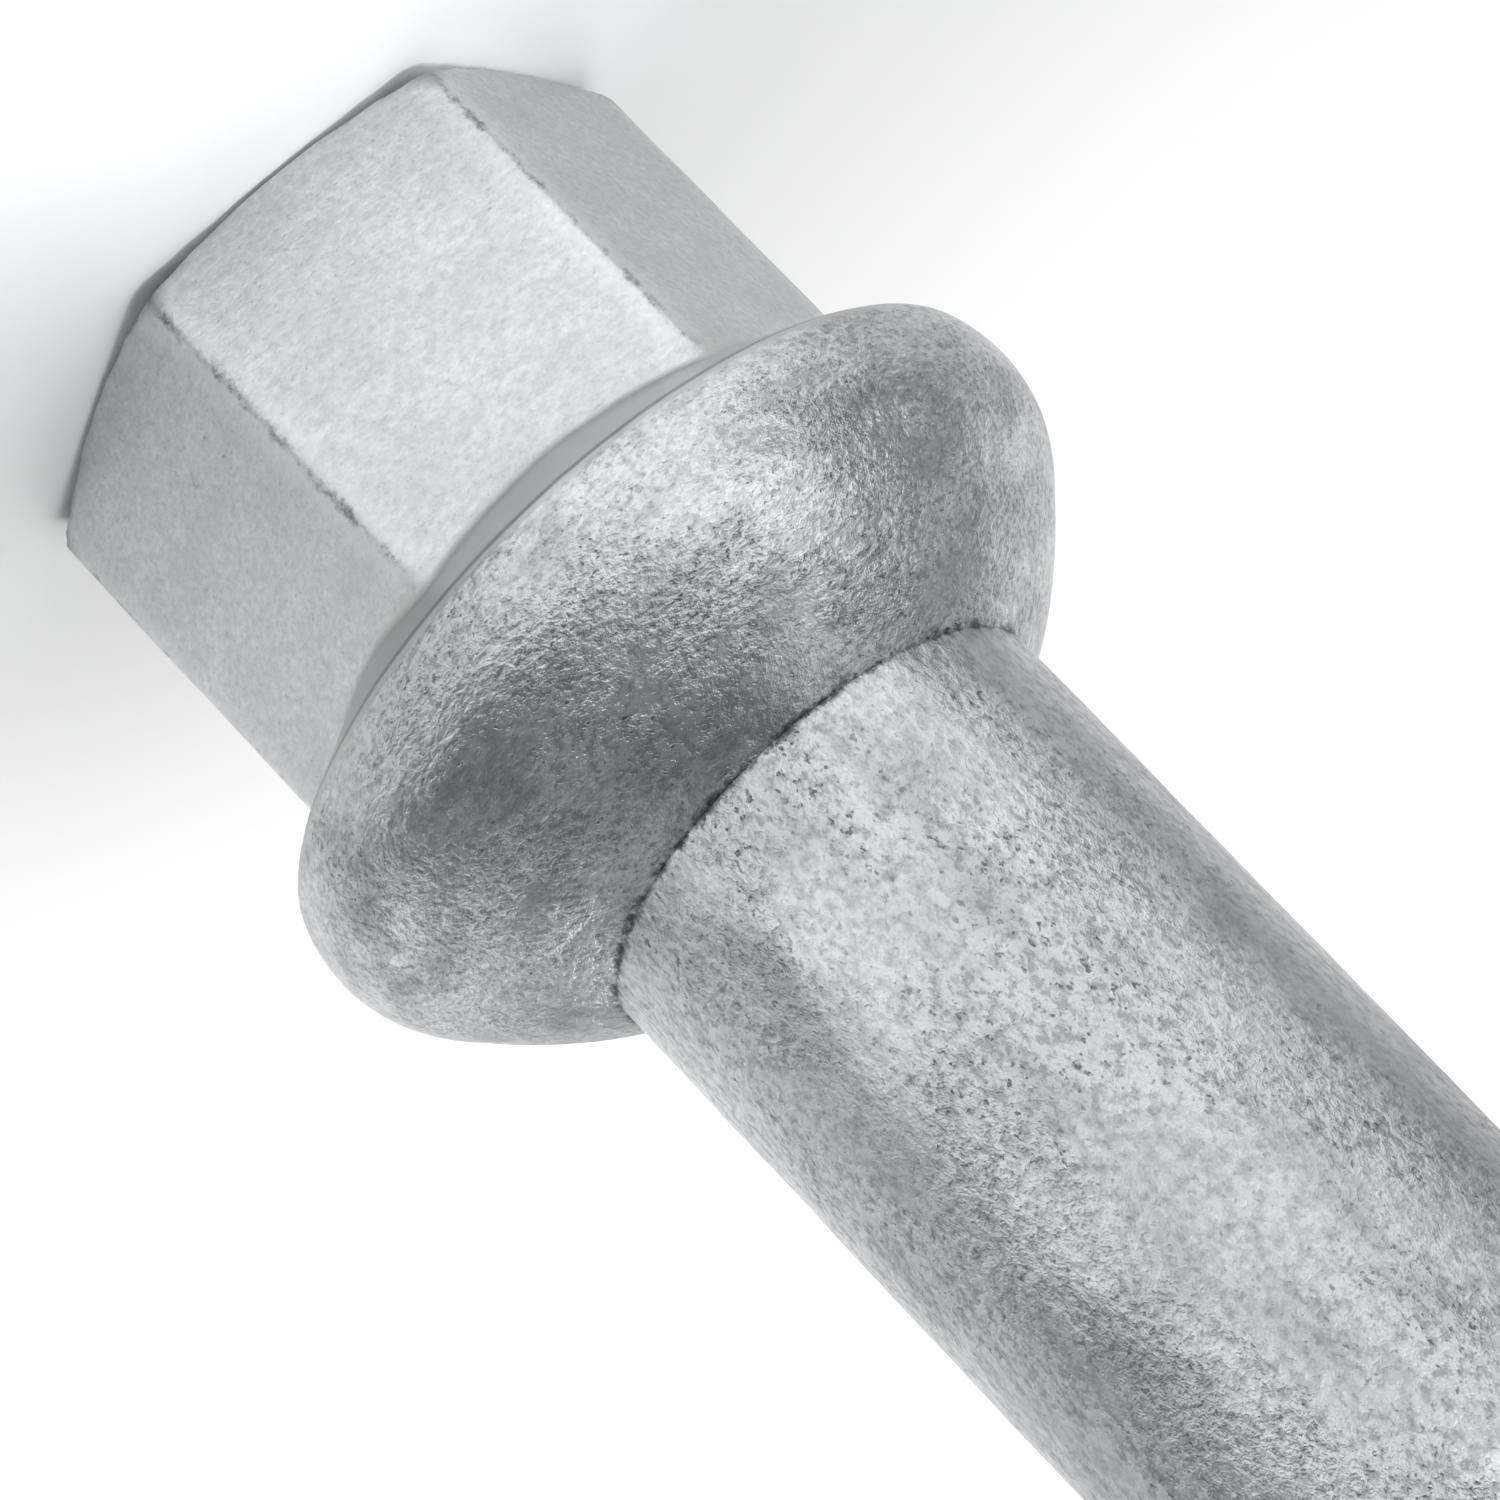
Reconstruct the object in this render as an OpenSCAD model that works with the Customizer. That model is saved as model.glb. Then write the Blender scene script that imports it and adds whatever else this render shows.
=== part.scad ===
// Wheel bolt with a hexagon head, a ball seat collar and a long plain shank.
// One forged steel piece, standing on its head: z = 0 is the end face of the head,
// and +Z runs along the axis to the threaded tip.

/* [Head] */
// Width across the flats of the hexagon, the spanner size.
hex_af = 17; // [15:0.5:21]
// Length of a flat along its middle, from the end face to the flared neck.
hex_len = 11.3; // [8:0.1:16]
// How much each corner of the hexagon is blunted, measured towards the axis.
corner_cut = 0.16; // [0.05:0.01:0.6]
// How far inside the flats the end chamfer starts on the end face.
chamfer_inset = 0.4; // [0:0.05:1.5]
// Angle of the end chamfer from the end face.
end_chamfer_deg = 30; // [15:1:45]
// Diameter of the shallow dish in the end face, at its mouth.
dish_d = 9.6; // [6:0.1:12]
// Depth of the dish.
dish_depth = 0.8; // [0.3:0.1:1.5]

/* [Collar] */
// Diameter of the collar at its widest.
collar_d = 24.4; // [23:0.1:26]
// Angle of the flared neck behind the hexagon, from a plane across the axis.
flare_deg = 33.7; // [25:0.1:45]
// How far inside the widest radius the flared neck ends in a crease.
crease_inset = 0.28; // [0.1:0.01:0.6]
// Radius of the rounded shoulder that joins the crease to the seat.
shoulder_r = 3.65; // [3:0.05:4]
// Radius of the ball seat, which sits in the ball socket of the wheel.
ball_r = 14; // [13.5:0.25:15]
// Length along the axis from the crease to the end of the seat at the shank.
seat_len = 7.5; // [6.5:0.1:8.5]
// How far inside the widest radius the seat can start, under the shoulder.
seat_inset = 0.6; // [0.5:0.05:1.5]

/* [Shank] */
// Diameter of the plain shank.
shank_d = 14.4; // [13.4:0.1:16]
// Length of the plain shank, from the seat to the start of its taper.
shank_len = 27; // [20:0.5:40]
// Angle of the taper below the shank, from the axis.
taper_deg = 30; // [20:1:45]

/* [Thread] */
// Outside diameter of the thread.
thread_d = 13.9; // [12.5:0.05:14]
// Pitch of the thread.
thread_pitch = 1.5; // [1.25:0.25:2]
// Length of the threaded end, from the neck to the tip.
thread_len = 27; // [18:0.5:40]
// Length of the narrow neck between the taper and the thread.
neck_len = 1.2; // [0.6:0.1:2]
// Length of the chamfer at the tip.
tip_len = 1.4; // [0.8:0.1:2]

/* [Hidden] */
$fn = 96;
hex_r = hex_af / 2;
corner_r = hex_r / cos(30) - corner_cut;
end_face_r = hex_r - chamfer_inset;
collar_r = collar_d / 2;
crease_r = collar_r - crease_inset;
crease_z = hex_len + (crease_r - hex_r) * tan(flare_deg);
// Centre of the shoulder circle, which passes through the crease.
shoulder_x = collar_r - shoulder_r;
shoulder_z = crease_z + sqrt(pow(shoulder_r, 2) - pow(crease_r - shoulder_x, 2));
shank_r = shank_d / 2;
seat_end_z = crease_z + seat_len;
// The ball's centre lies on the axis, and its circle passes through the end of the seat.
ball_z = seat_end_z - sqrt(pow(ball_r, 2) - pow(shank_r, 2));
thread_r = thread_d / 2;
// The thread is rolled, so the plain neck keeps the pitch diameter of the blank.
neck_r = thread_r - 0.3248 * thread_pitch;
taper_z = seat_end_z + shank_len;
neck_z = taper_z + (shank_r - neck_r) / tan(taper_deg);
thread_z = neck_z + neck_len;
tip_z = thread_z + thread_len;

// Outline of the hexagon, with a blunt corner pointing along +X.
module hexagon_outline() {
    intersection() {
        circle(r = hex_r / cos(30), $fn = 6);
        circle(r = corner_r);
    }
}

// The hexagon, chamfered all round at its end face.
module hexagon_head() {
    intersection() {
        linear_extrude(height = crease_z) hexagon_outline();
        rotate_extrude() polygon([
            [0, 0],
            [end_face_r, 0],
            [end_face_r + collar_r, collar_r * tan(end_chamfer_deg)],
            [end_face_r + collar_r, crease_z + collar_r],
            [0, crease_z + collar_r]
        ]);
    }
}

// Half section of the collar: the ball seat and the shoulder, on the flared neck.
module collar_section() {
    intersection() {
        union() {
            // rounded shoulder
            translate([shoulder_x, shoulder_z]) circle(r = shoulder_r);
            // ball seat
            intersection() {
                translate([0, ball_z]) circle(r = ball_r);
                square([collar_r - seat_inset, seat_end_z + ball_r]);
            }
        }
        // flared neck, a cone that leaves the flats of the hexagon and ends at the crease
        polygon([
            [0, crease_z - crease_r * tan(flare_deg)],
            [collar_d, crease_z + (collar_d - crease_r) * tan(flare_deg)],
            [collar_d, crease_z + collar_d * 2],
            [0, crease_z + collar_d * 2]
        ]);
    }
}

// Half section of the shank, the taper, the neck, the thread and the tip.
module shank_section() {
    polygon([
        [0, shoulder_z],
        [shank_r, shoulder_z],
        [shank_r, taper_z],
        [neck_r, neck_z],
        [neck_r, thread_z],
        [thread_r, thread_z + thread_r - neck_r],
        [thread_r, tip_z - tip_len],
        [thread_r - tip_len, tip_z],
        [0, tip_z]
    ]);
}

// Shallow dish in the end face of the head.
module dish() {
    translate([0, 0, -dish_depth])
        cylinder(h = 2 * dish_depth, r1 = dish_d / 2 + dish_depth,
                 r2 = dish_d / 2 - dish_depth);
}

module wheel_bolt() {
    color("#B4B7B8")
    difference() {
        union() {
            hexagon_head();
            rotate_extrude() collar_section();
            rotate_extrude() shank_section();
        }
        dish();
    }
}

wheel_bolt();
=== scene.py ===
import bpy, bmesh
from math import acos, atan2, cos, pi, radians, sin, sqrt, tan
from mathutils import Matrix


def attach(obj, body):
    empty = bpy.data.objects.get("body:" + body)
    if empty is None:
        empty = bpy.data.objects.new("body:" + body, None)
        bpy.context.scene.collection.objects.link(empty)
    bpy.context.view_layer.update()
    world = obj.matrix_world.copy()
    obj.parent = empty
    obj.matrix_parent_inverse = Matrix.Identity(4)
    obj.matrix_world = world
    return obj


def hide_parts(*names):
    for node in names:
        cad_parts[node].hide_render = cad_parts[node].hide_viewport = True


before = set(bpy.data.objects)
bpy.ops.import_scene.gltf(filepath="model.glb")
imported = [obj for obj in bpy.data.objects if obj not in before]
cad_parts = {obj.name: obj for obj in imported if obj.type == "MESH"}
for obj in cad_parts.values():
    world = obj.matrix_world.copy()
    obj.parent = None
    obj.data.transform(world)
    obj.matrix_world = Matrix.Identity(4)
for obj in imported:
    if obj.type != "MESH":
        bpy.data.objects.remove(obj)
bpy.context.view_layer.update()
mm = 0.001

# ---- The spanner hexagon ----
# The head of the bolt is a 17 mm hexagon, pressed from the steel bar in a closed die. Its
# corners fill the die only softly, a low chamfer runs round the end, and a shallow dish in
# the end face keeps the punch mark clear of the surface that the bolt stands on.
hexagon_flats = 17.0 * mm
hexagon_corner_radius = hexagon_flats / 2 / cos(radians(30))
hexagon_soft_corner = 0.22 * mm
flats_end = 11.3 * mm
end_face_radius = 8.1 * mm
end_chamfer_slope = tan(radians(20))
dish_radius = 4.8 * mm
dish_depth = 0.8 * mm


def clear_bench():
    """Leaves edit mode and lets go of everything."""
    if bpy.context.object and bpy.context.object.mode != "OBJECT":
        bpy.ops.object.mode_set(mode="OBJECT")
    bpy.ops.object.select_all(action="DESELECT")


def take(piece):
    """Takes one piece in hand, and nothing else."""
    clear_bench()
    piece.select_set(True)
    bpy.context.view_layer.objects.active = piece


def pick(piece, kind, wanted):
    """Opens a piece for work and selects its faces or edges whose middle and direction fit."""
    take(piece)
    bpy.ops.object.mode_set(mode="EDIT")
    bpy.ops.mesh.select_mode(type=kind)
    bpy.ops.mesh.select_all(action="DESELECT")
    shape = bmesh.from_edit_mesh(piece.data)
    for face in shape.faces if kind == "FACE" else []:
        face.select_set(wanted(face.calc_center_median(), face.normal))
    for edge in shape.edges if kind == "EDGE" else []:
        a, b = edge.verts[0].co, edge.verts[1].co
        edge.select_set(wanted((a + b) / 2, (b - a).normalized()))
    bmesh.update_edit_mesh(piece.data)


def finish_with(piece, kind, **settings):
    """Puts a modifier on a piece and applies it."""
    take(piece)
    step = piece.modifiers.new(kind.lower(), kind)
    for name, value in settings.items():
        setattr(step, name, value)
    bpy.ops.object.modifier_apply(modifier=step.name)


def combine(piece, other, how):
    """Joins, cuts or keeps what two pieces share, and puts the other one away."""
    finish_with(piece, "BOOLEAN", operation=how, object=other, solver="EXACT")
    bpy.data.objects.remove(other)


def name_new(name):
    """Names the piece just added and settles its place into its mesh."""
    piece = bpy.context.object
    piece.name = piece.data.name = name
    bpy.ops.object.transform_apply(location=True, rotation=True, scale=True)
    return piece


clear_bench()
hexagon_length = 13.3 * mm
bpy.ops.mesh.primitive_cylinder_add(vertices=6, radius=hexagon_corner_radius,
                                    depth=hexagon_length, location=(0, 0, hexagon_length / 2),
                                    rotation=(0, 0, radians(30)))
bolt = name_new("forged_wheel_bolt")
pick(bolt, "EDGE", lambda middle, along: abs(along.z) > 0.9)
bpy.ops.mesh.bevel(offset=hexagon_soft_corner, offset_type="OFFSET", segments=5, profile=0.5)

# the low chamfer at the end: what the hexagon shares with a wide flat cone
clear_bench()
chamfer_height = 14 * mm
bpy.ops.mesh.primitive_cone_add(vertices=180, radius1=end_face_radius, depth=chamfer_height,
                                radius2=end_face_radius + chamfer_height / end_chamfer_slope,
                                location=(0, 0, chamfer_height / 2))
combine(bolt, name_new("chamfer_cone"), "INTERSECT")

# the dish in the end face
pick(bolt, "FACE", lambda middle, out: out.z < -0.99 and middle.z < 0.01 * mm)
bpy.ops.mesh.inset(thickness=end_face_radius - dish_radius, depth=0)
bpy.ops.mesh.extrude_region_move(TRANSFORM_OT_translate={"value": (0, 0, dish_depth)})
bpy.ops.transform.resize(value=(0.83, 0.83, 1), center_override=(0, 0, 0))

# ---- The collar with its ball seat ----
# Behind the hexagon the same steel widens in a short smooth cone, trimmed bright at its rim,
# and folds back over a rounded shoulder into the ball seat, a zone of a 14 mm ball that the
# wheel's socket centres on. All of it is pressed, so only the rim of the cone is crisp.
collar_radius = 12.2 * mm
rim_radius = 11.92 * mm
rim_height = 13.581 * mm
cone_slope = tan(radians(33.7))
shoulder_radius = 3.65 * mm
shoulder_height = 14.983 * mm
seat_radius = 14.0 * mm
seat_centre = 9.074 * mm


def turn(name, sides, stations):
    """Draws a solid out of a round blank, ring by ring, like a profile on a lathe."""
    clear_bench()
    radius, height = stations[0]
    bpy.ops.mesh.primitive_circle_add(vertices=sides, radius=radius, fill_type="NGON",
                                      location=(0, 0, height))
    piece = name_new(name)
    bpy.ops.object.mode_set(mode="EDIT")
    bpy.ops.mesh.select_all(action="SELECT")
    for new_radius, new_height in stations[1:]:
        bpy.ops.mesh.extrude_region_move(
            TRANSFORM_OT_translate={"value": (0, 0, new_height - height)})
        bpy.ops.transform.resize(value=(new_radius / radius, new_radius / radius, 1),
                                 center_override=(0, 0, new_height))
        radius, height = new_radius, new_height
    bpy.ops.mesh.select_all(action="SELECT")
    bpy.ops.mesh.normals_make_consistent(inside=False)
    bpy.ops.object.mode_set(mode="OBJECT")
    return piece


def arc(centre_radius, centre_height, radius, start, end, steps):
    """Stations along an arc of the profile, from one angle to another."""
    return [(centre_radius + radius * cos(start + (end - start) * k / steps),
             centre_height + radius * sin(start + (end - start) * k / steps))
            for k in range(steps + 1)]


# the profile starts and ends inside the steel that it joins
cone_foot = 7.6 * mm
seat_top_radius = 5 * mm
shoulder_centre = collar_radius - shoulder_radius
rim_angle = atan2(rim_height - shoulder_height, rim_radius - shoulder_centre)
shoulder_end, seat_start = radians(44.8), radians(37.4)
collar = turn("collar", 180,
              [(cone_foot, flats_end - (hexagon_flats / 2 - cone_foot) * cone_slope)]
              + arc(shoulder_centre, shoulder_height, shoulder_radius, rim_angle, shoulder_end, 16)
              + arc(0, seat_centre, seat_radius, seat_start,
                    acos(seat_top_radius / seat_radius), 20))
combine(bolt, collar, "UNION")

# The die leaves no knife edges: the whole head is recast in small cells, then eased.
cell = 0.18 * mm
finish_with(bolt, "REMESH", mode="VOXEL", voxel_size=cell, use_smooth_shade=True)
finish_with(bolt, "SMOOTH", factor=0.5, iterations=2)

# ---- The shank and the thread ----
# The long plain shank passes through a thick wheel. Below its taper and a narrow neck comes
# the M14 x 1.5 thread, rolled between dies: crests of 13.9 mm, rounded roots, a run-out that
# fades into the neck, and a 45 degree chamfer at the tip.
shank_radius = 7.2 * mm
shank_end = 48.081 * mm
neck_radius = 6.463 * mm
neck_start = 49.358 * mm
thread_start = 50.558 * mm
thread_radius = 6.95 * mm
thread_pitch = 1.5 * mm
thread_root = thread_radius - 0.6134 * thread_pitch
tip_length = 1.4 * mm
tip_end = 77.558 * mm

shank_foot = 19.0 * mm
shank_steps = 58
shank = turn("shank", 144,
             [(shank_radius, shank_foot + (shank_end - shank_foot) * k / shank_steps)
              for k in range(shank_steps + 1)]
             + [(neck_radius, neck_start), (neck_radius, thread_start),
                (thread_radius, thread_start + thread_radius - neck_radius),
                (thread_radius, tip_end - tip_length),
                (thread_radius - tip_length, tip_end)])

# the groove between the turns: a narrow slot of 60 degrees, swept round as the die rolls it
groove_out = thread_radius + 0.1 * mm
groove_root_half = 0.125 * mm
groove_out_half = groove_root_half + (groove_out - thread_root) * tan(radians(30))
groove_start = thread_start - 0.35 * mm
groove_turns = 19
clear_bench()
groove_middle = (groove_out + thread_root) / 2
bpy.ops.mesh.primitive_plane_add(size=1, location=(groove_middle, 0, groove_start),
                                 rotation=(radians(90), 0, 0))
groove = name_new("thread_groove")
bpy.ops.object.mode_set(mode="EDIT")
bpy.ops.mesh.select_all(action="SELECT")
bpy.ops.transform.resize(value=(groove_out - thread_root, 1, 2 * groove_out_half),
                         center_override=(groove_middle, 0, groove_start))
pick(groove, "EDGE", lambda middle, along: middle.x < thread_root + 0.01 * mm)
bpy.ops.transform.resize(value=(1, 1, groove_root_half / groove_out_half),
                         center_override=(thread_root, 0, groove_start))
bpy.ops.mesh.select_all(action="SELECT")
bpy.ops.mesh.delete(type="ONLY_FACE")
bpy.ops.object.mode_set(mode="OBJECT")
finish_with(groove, "SCREW", axis="Z", angle=2 * pi, screw_offset=thread_pitch,
            iterations=groove_turns, steps=72, render_steps=72, use_merge_vertices=True,
            merge_threshold=0.001 * mm)
# the first turns rise out of the steel, so that the thread runs out instead of stopping
run_out_turns = 1.25
run_out_rise = 0.55 * mm
for point in groove.data.vertices:
    around = atan2(point.co.y, point.co.x) % (2 * pi)
    turn_number = round((point.co.z - groove_start) / thread_pitch - around / (2 * pi))
    travel = turn_number + around / (2 * pi)
    if travel < run_out_turns:
        radius = sqrt(point.co.x ** 2 + point.co.y ** 2)
        grown = (radius + run_out_rise * (1 - travel / run_out_turns) ** 1.5) / radius
        point.co.x *= grown
        point.co.y *= grown
take(groove)
bpy.ops.object.mode_set(mode="EDIT")
bpy.ops.mesh.select_all(action="DESELECT")
bpy.ops.mesh.select_mode(type="VERT")
bpy.ops.mesh.select_non_manifold(extend=False, use_wire=False, use_boundary=True,
                                 use_multi_face=False, use_non_contiguous=False, use_verts=False)
bpy.ops.mesh.fill()
bpy.ops.mesh.select_all(action="SELECT")
bpy.ops.mesh.normals_make_consistent(inside=False)
bpy.ops.object.mode_set(mode="OBJECT")
combine(shank, groove, "DIFFERENCE")
combine(bolt, shank, "UNION")

# Handling in the tumbler and the coating drum leaves the forging a touch uneven. The dents
# only go inwards, a few hundredths of a millimetre, so that the bolt keeps its size.
dent_width = 2.6 * mm
dent_depth = 0.05 * mm
unevenness = bpy.data.textures.new("forging_unevenness", "CLOUDS")
unevenness.noise_scale = dent_width
unevenness.noise_depth = 1
finish_with(bolt, "DISPLACE", texture=unevenness, texture_coords="LOCAL", mid_level=1.0,
            strength=dent_depth)
take(bolt)
bpy.ops.object.shade_smooth_by_angle(angle=radians(38))

# ---- The coat ----
# Zinc flake: thin zinc and aluminium platelets in a mineral binder, dipped, spun and baked
# on. The eye gets a matt silver grey that is still metal: broad soft highlights, a pebbled
# skin with grains of about 0.3 mm, painted shade between them and in its dark pores, and
# dirt that settles in the corners.


def linear(hex_colour):
    """An sRGB hex value as the linear colour that the shader wants."""
    channels = [int(hex_colour[k:k + 2], 16) / 255 for k in (1, 3, 5)]
    return tuple(c / 12.92 if c <= 0.04045 else ((c + 0.055) / 1.055) ** 2.4
                 for c in channels) + (1.0,)


def add(kind, inputs, out=0, **settings):
    """Adds a node to the coat, fills or links its inputs, and gives back one output."""
    node = coat.node_tree.nodes.new("ShaderNode" + kind)
    for name, value in settings.items():
        setattr(node, name, value)
    for socket, value in inputs.items():
        if isinstance(value, bpy.types.NodeSocket):
            coat.node_tree.links.new(value, node.inputs[socket])
        else:
            node.inputs[socket].default_value = value
    return node.outputs[out]


coat = bpy.data.materials.new("zinc_flake_coat_on_forged_steel")
coat.use_nodes = True
coat.node_tree.nodes.clear()

# every place on the bolt in millimetres: height, distance from the axis, and the distance
# from the nearest corner edge of the hexagon, measured round the bolt
half_flats_mm = 8.5
corner_edge_mm = 9.7
flats_end_mm = 11.3
rim_mm = 13.50
seat_end_mm = 21.08
place = add("VectorMath", {0: add("TexCoord", {}, "Object"), "Scale": 1000.0}, operation="SCALE")
height = add("SeparateXYZ", {0: place}, "Z")
radius = add("VectorMath", {0: add("VectorMath", {0: place, 1: (1, 1, 0)}, operation="MULTIPLY")},
             "Value", operation="LENGTH")
bearing = add("Math", {0: add("SeparateXYZ", {0: place}, "Y"),
                       1: add("SeparateXYZ", {0: place}, "X")}, operation="ARCTAN2")
from_edge = add("Math", {0: add("Math", {0: bearing, 1: pi / 6}, operation="PINGPONG"),
                         1: corner_edge_mm}, operation="MULTIPLY")

# the pressed skin from the rim on is coarse; that of the flats and of the cone is fine
pressed = add("MapRange", {"Value": height, "From Min": 13.35, "From Max": 14.1},
              interpolation_type="SMOOTHSTEP")
below = add("Math", {0: radius, 1: -cone_slope, 2: half_flats_mm * cone_slope - flats_end_mm},
            operation="MULTIPLY_ADD")
above_cone = add("Math", {0: below, 1: height}, operation="ADD")
from_cone = add("Math", {0: above_cone}, operation="ABSOLUTE")
near_cone = add("MapRange", {"Value": from_cone, "From Min": 0.10, "From Max": 0.22,
                             "To Min": 1.0, "To Max": 0.0}, interpolation_type="SMOOTHSTEP")
past_flats = add("MapRange", {"Value": height, "From Min": 11.25, "From Max": 11.45})
on_cone = add("Math", {0: near_cone, 1: past_flats}, operation="MULTIPLY")

# grains of about 0.3 mm, flattened round the collar and drawn out along the shank, with
# finer ones in them; patches 3 mm wide where the die and the drum have worked them rougher
on_shank = add("Math", {0: height, 1: seat_end_mm}, operation="GREATER_THAN")
drawn_out = add("MapRange", {"Value": on_shank, "To Min": 1.45, "To Max": 0.75})
stretched = add("VectorMath", {0: place, 1: add("CombineXYZ", {0: 1.0, 1: 1.0, 2: drawn_out})},
                operation="MULTIPLY")
grain = add("TexNoise", {"Vector": stretched, "Scale": 3.7, "Detail": 3.0, "Roughness": 0.68})
lumps = add("TexNoise", {"Vector": stretched, "Scale": 0.9, "Detail": 2.0, "Roughness": 0.5})
run_length = add("MapRange", {"Value": on_shank, "To Min": 2.0, "To Max": 0.4})
runs = add("VectorMath", {0: place, 1: add("CombineXYZ", {0: 1.0, 1: 1.0, 2: run_length})},
           operation="MULTIPLY")
patches = add("TexNoise", {"Vector": runs, "Scale": 0.33, "Detail": 3.0, "Roughness": 0.6})
worked = add("MapRange", {"Value": patches, "From Min": 0.44, "From Max": 0.57, "To Min": 0.3,
                          "To Max": 1.1})
coarse = add("Math", {0: pressed, 1: worked, 2: 0.32}, operation="MULTIPLY_ADD")
off_cone = add("MapRange", {"Value": on_cone, "To Min": 1.0, "To Max": 0.35})
coarse = add("Math", {0: coarse, 1: off_cone}, operation="MULTIPLY")
pores = add("TexNoise", {"Vector": stretched, "Scale": 5.0, "Detail": 2.0, "Roughness": 0.6})
pores = add("MapRange", {"Value": pores, "From Min": 0.60, "From Max": 0.72, "To Max": coarse},
            interpolation_type="SMOOTHSTEP")
sunk = add("Math", {0: pores, 1: -0.2}, operation="MULTIPLY")
relief_height = add("Math", {0: lumps, 1: 0.5, 2: sunk}, operation="MULTIPLY_ADD")
relief_height = add("Math", {0: grain, 1: coarse, 2: relief_height}, operation="MULTIPLY_ADD")
relief = add("Bump", {"Height": relief_height, "Distance": 0.078 * mm, "Strength": 1.0})

# the silver itself: a grey skin, partly its own mottle and partly painted shade between the
# grains and painted light on them, and greyer in patches
ups_and_downs = add("Math", {0: add("Math", {0: grain, 1: 0.5}, operation="SUBTRACT"), 1: coarse,
                             2: 0.5}, operation="MULTIPLY_ADD")
grain_shade_and_mottle = add("MapRange", {"Value": ups_and_downs, "From Min": 0.34, "From Max": 0.56})
silver = add("Mix", {0: grain_shade_and_mottle, 6: linear("#9A9D9F"), 7: linear("#D2D4D5")}, 2, data_type="RGBA")
greyer = add("MapRange", {"Value": patches, "From Min": 0.35, "From Max": 0.65, "To Max": 0.35})
silver = add("Mix", {0: greyer, 6: silver, 7: linear("#ABADAF")}, 2, data_type="RGBA")

# bluish bands where the binder has run together round the collar, and faint ones along the shank
bands = add("TexNoise", {"Vector": runs, "Scale": 0.42, "Detail": 3.0, "Roughness": 0.6})
bands = add("MapRange", {"Value": bands, "From Min": 0.50, "From Max": 0.68, "To Max": 0.46})
silver = add("Mix", {0: add("Math", {0: bands, 1: pressed}, operation="MULTIPLY"),
                     6: silver, 7: linear("#7F858C")}, 2, data_type="RGBA")

# the pores are painted dark inside, as shade in them, and here and there a speck of bare scale
# shows
silver = add("Mix", {0: add("Math", {0: pores, 1: 0.6}, operation="MULTIPLY"),
                     6: silver, 7: linear("#66686A")}, 2, data_type="RGBA")
specks = add("TexNoise", {"Vector": place, "Scale": 1.1, "Detail": 5.0, "Roughness": 0.75})
specks = add("MapRange", {"Value": specks, "From Min": 0.66, "From Max": 0.74, "To Max": 0.75})
silver = add("Mix", {0: specks, 6: silver, 7: linear("#54575C")}, 2, data_type="RGBA")

# two greyer strips along the shank: painted shade, the dark bands that the round shank's
# reflections show at these two bearings
for middle, half, share in ((-2.42, 0.26, 0.42), (-0.72, 0.24, 0.26)):
    aside = add("Math", {0: add("Math", {0: bearing, 1: middle}, operation="SUBTRACT")},
                operation="ABSOLUTE")
    painted_shade_strip = add("MapRange", {"Value": add("Math", {0: bands, 1: -0.25, 2: aside},
                                          operation="MULTIPLY_ADD"),
                             "From Max": half, "To Min": share, "To Max": 0.0},
                interpolation_type="SMOOTHSTEP")
    silver = add("Mix", {0: add("Math", {0: painted_shade_strip, 1: on_shank}, operation="MULTIPLY"),
                         6: silver, 7: linear("#82878C")}, 2, data_type="RGBA")

# the trimmed cone is an even grey, with a dark line of painted shade in the fold of its rim
silver = add("Mix", {0: add("Math", {0: on_cone, 1: 0.8}, operation="MULTIPLY"),
                     6: silver, 7: linear("#BDBDBC")}, 2, data_type="RGBA")
from_rim = add("Math", {0: add("Math", {0: height, 1: rim_mm}, operation="SUBTRACT")},
               operation="ABSOLUTE")
rim_fold_shade = add("MapRange", {"Value": from_rim, "From Min": 0.04, "From Max": 0.16,
                            "To Min": 0.6, "To Max": 0.0}, interpolation_type="SMOOTHSTEP")
silver = add("Mix", {0: rim_fold_shade, 6: silver, 7: linear("#5A5D61")}, 2, data_type="RGBA")

# the corner edges of the hexagon: a thin dark line, knocked wider in places, beside it a rim
# that is rubbed lighter, and a dark patch of painted shade where each of them meets the end
below_cone = add("MapRange", {"Value": height, "From Min": 11.1, "From Max": 11.6, "To Min": 1.0,
                              "To Max": 0.0})
rubbed = add("Math", {0: add("MapRange", {"Value": from_edge, "From Min": 0.25, "From Max": 0.9,
                                          "To Min": 0.35, "To Max": 0.0}), 1: below_cone},
             operation="MULTIPLY")
silver = add("Mix", {0: rubbed, 6: silver, 7: linear("#DCDEDF")}, 2, data_type="RGBA")
knocks = add("TexNoise", {"Vector": place, "Scale": 1.6, "Detail": 4.0, "Roughness": 0.75})
line_width = add("MapRange", {"Value": knocks, "From Min": 0.42, "From Max": 0.68,
                              "To Min": 0.08, "To Max": 0.36})
line_share = add("MapRange", {"Value": knocks, "From Min": 0.48, "From Max": 0.64,
                              "To Min": 0.16, "To Max": 0.8})
line = add("MapRange", {"Value": from_edge, "From Min": 0.02, "From Max": line_width,
                        "To Min": line_share, "To Max": 0.0}, interpolation_type="SMOOTHSTEP")
silver = add("Mix", {0: add("Math", {0: line, 1: below_cone}, operation="MULTIPLY"),
                     6: silver, 7: linear("#5C5F62")}, 2, data_type="RGBA")
# painted shade: a dark patch where each corner edge meets the end, in place of the shade of a
# rounded corner
corner_end_shade = add("MapRange", {"Value": add("Math", {0: from_edge, 1: height}, operation="ADD"),
                             "From Min": 0.8, "From Max": 1.6, "To Min": 0.6, "To Max": 0.0},
                interpolation_type="SMOOTHSTEP")
silver = add("Mix", {0: corner_end_shade, 6: silver, 7: linear("#7F8285")}, 2, data_type="RGBA")

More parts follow.
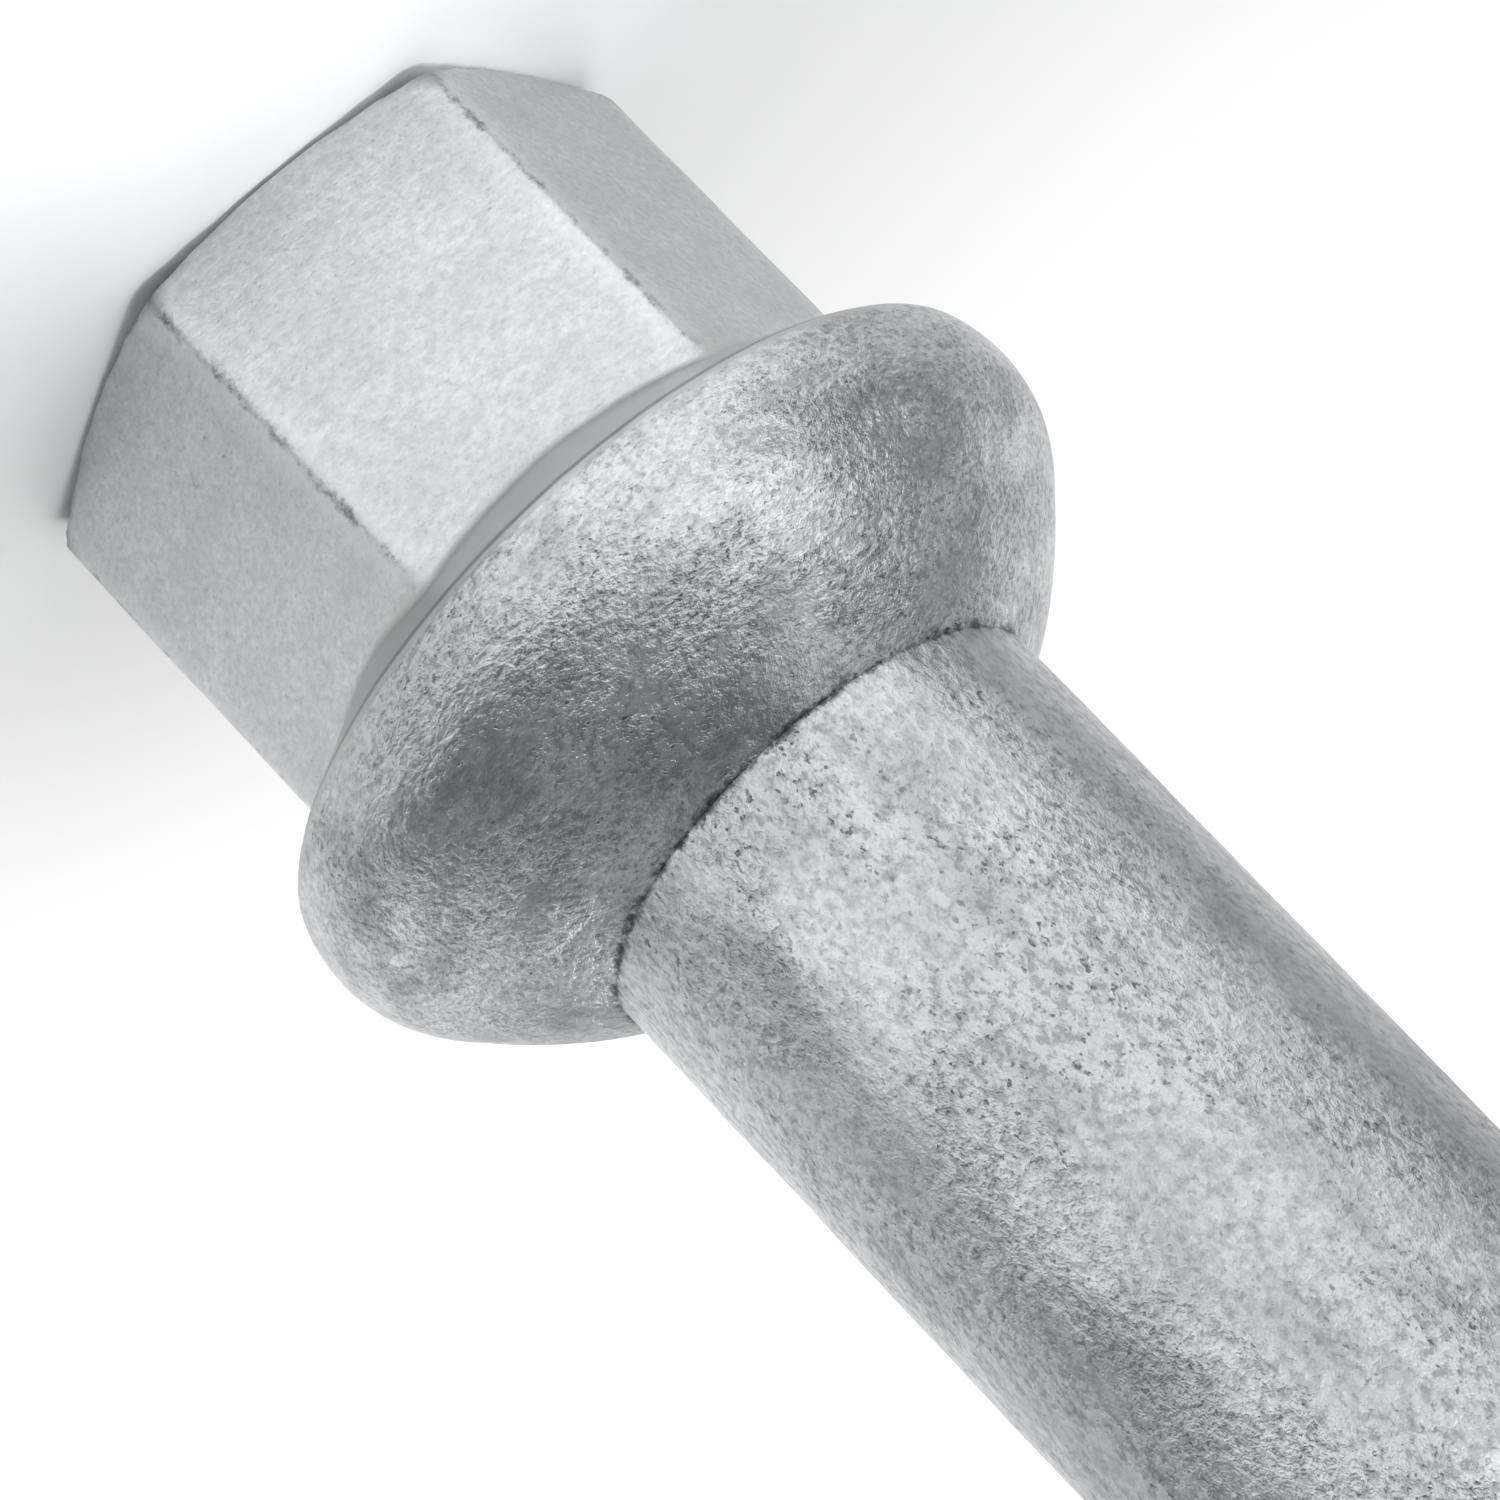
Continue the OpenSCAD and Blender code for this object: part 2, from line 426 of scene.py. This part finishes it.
# a thin broken line of dirt in the corner between the seat and the shank
from_corner = add("Math", {0: add("Math", {0: height, 1: seat_end_mm}, operation="SUBTRACT")},
                  operation="ABSOLUTE")
dirt_width = add("MapRange", {"Value": knocks, "From Min": 0.40, "From Max": 0.62,
                              "To Min": 0.04, "To Max": 0.26})
dirt_share = add("MapRange", {"Value": knocks, "From Min": 0.40, "From Max": 0.56,
                              "To Min": 0.2, "To Max": 0.9})
dirt = add("MapRange", {"Value": from_corner, "From Min": 0.02, "From Max": dirt_width,
                        "To Min": dirt_share, "To Max": 0.0}, interpolation_type="SMOOTHSTEP")
silver = add("Mix", {0: dirt, 6: silver, 7: linear("#3F4143")}, 2, data_type="RGBA")
skin = add("BsdfPrincipled", {"Base Color": silver, "Metallic": 1.0, "Roughness": 0.36,
                              "Normal": relief})
finish = coat.node_tree.nodes.new("ShaderNodeOutputMaterial")
coat.node_tree.links.new(skin, finish.inputs["Surface"])
bolt.data.materials.clear()
bolt.data.materials.append(coat)

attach(bolt, "root")
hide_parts("wheel_bolt")

# ---- The table, the light and the camera ----
# A plain white table top under soft studio lamps. The camera looks down a little, turned so
# that the bolt lies across the picture with its head at the upper left.
clear_bench()
bpy.ops.mesh.primitive_plane_add(size=10, location=(0, 0, 0))
table = name_new("table_top")
white = bpy.data.materials.new("white_table_top")
white.use_nodes = True
white.node_tree.nodes["Principled BSDF"].inputs["Base Color"].default_value = linear("#FCFCFC")
white.node_tree.nodes["Principled BSDF"].inputs["Roughness"].default_value = 0.9
white.node_tree.nodes["Principled BSDF"].inputs["Specular IOR Level"].default_value = 0.0
table.data.materials.append(white)

world = bpy.data.worlds.new("studio")
world.use_nodes = True
world.node_tree.nodes["Background"].inputs["Color"].default_value = (1, 1, 1, 1)
world.node_tree.nodes["Background"].inputs["Strength"].default_value = 0.20
bpy.context.scene.world = world


def lamp(name, round_about, height, width, power, tone="#FFFFFF"):
    """A soft box 0.6 m away, placed by its bearing from the front and its height angle."""
    bearing, rise, distance = radians(round_about), radians(height), 0.6
    x, y, z = sin(bearing) * cos(rise), -cos(bearing) * cos(rise), sin(rise)
    light = bpy.data.lights.new(name, "AREA")
    light.shape = "RECTANGLE"
    light.size, light.size_y = width, 0.25
    light.energy = power
    light.color = linear(tone)[:3]
    box = bpy.data.objects.new(name, light)
    bpy.context.scene.collection.objects.link(box)
    box.location = (x * distance, y * distance, z * distance + 0.03)
    box.rotation_euler = (radians(90) - rise, 0, bearing)


def pool(name, round_about, distance, radius, power, tone="#FFFFFF"):
    """A spot that comes from outside at 60 degrees and lights a soft round of the table."""
    bearing, rise, reach = radians(round_about), radians(60), 0.55
    light = bpy.data.lights.new(name, "SPOT")
    light.shadow_soft_size = 0.01
    light.spot_size = 2 * atan2(1.3 * radius, reach)
    light.spot_blend = 1.0
    light.energy = power
    light.color = linear(tone)[:3]
    spot = bpy.data.objects.new(name, light)
    bpy.context.scene.collection.objects.link(spot)
    out = distance + reach * cos(rise)
    spot.location = (sin(bearing) * out, -cos(bearing) * out, reach * sin(rise))
    spot.rotation_euler = (radians(90) - rise, 0, bearing)


# the boxes light the bolt itself, and the pools the white table that its flats mirror
lamp("front_box", -4, 10, 0.60, 1.02, "#F6FAFF")
lamp("left_box", -45, 35, 0.45, 0.82)
lamp("back_box", 180, 35, 0.35, 0.96)
lamp("left_top_box", -90, 60, 0.35, 0.26)
lamp("right_top_box", 120, 60, 0.35, 0.15)
lamp("rear_left_box", -140, 10, 0.45, 0.44)
lamp("rear_right_box", 135, 10, 0.45, 0.50)
pool("foot_pool", -10, 21 * mm, 10 * mm, 7.5, "#F8FBFF")
pool("near_left_pool", -32, 45 * mm, 28 * mm, 8.2, "#F8FBFF")
pool("near_front_pool", 0, 45 * mm, 28 * mm, 6.2, "#F8FBFF")
pool("near_right_pool", 76, 45 * mm, 28 * mm, 2.2)
pool("far_left_pool", -45, 110 * mm, 54 * mm, 11.0)
pool("far_right_pool", 45, 110 * mm, 54 * mm, 17.6)
pool("side_left_pool", -122, 58 * mm, 38 * mm, 3.2)
pool("side_right_pool", 118, 38 * mm, 24 * mm, 2.7)
pool("rear_right_pool", 140, 60 * mm, 40 * mm, 5.0)
pool("rear_pool", 180, 130 * mm, 80 * mm, 9.8)

lens = bpy.data.cameras.new("camera")
lens.sensor_width = 36
lens.lens = 228
lens.clip_start = 0.01
view = bpy.data.objects.new("camera", lens)
bpy.context.scene.collection.objects.link(view)
view.location = (0.041862, -0.231582, 0.108658)
view.rotation_euler = (radians(-61.92701), radians(-40.19939), radians(171.24730))
bpy.context.scene.camera = view
bpy.context.scene.view_settings.view_transform = "Standard"
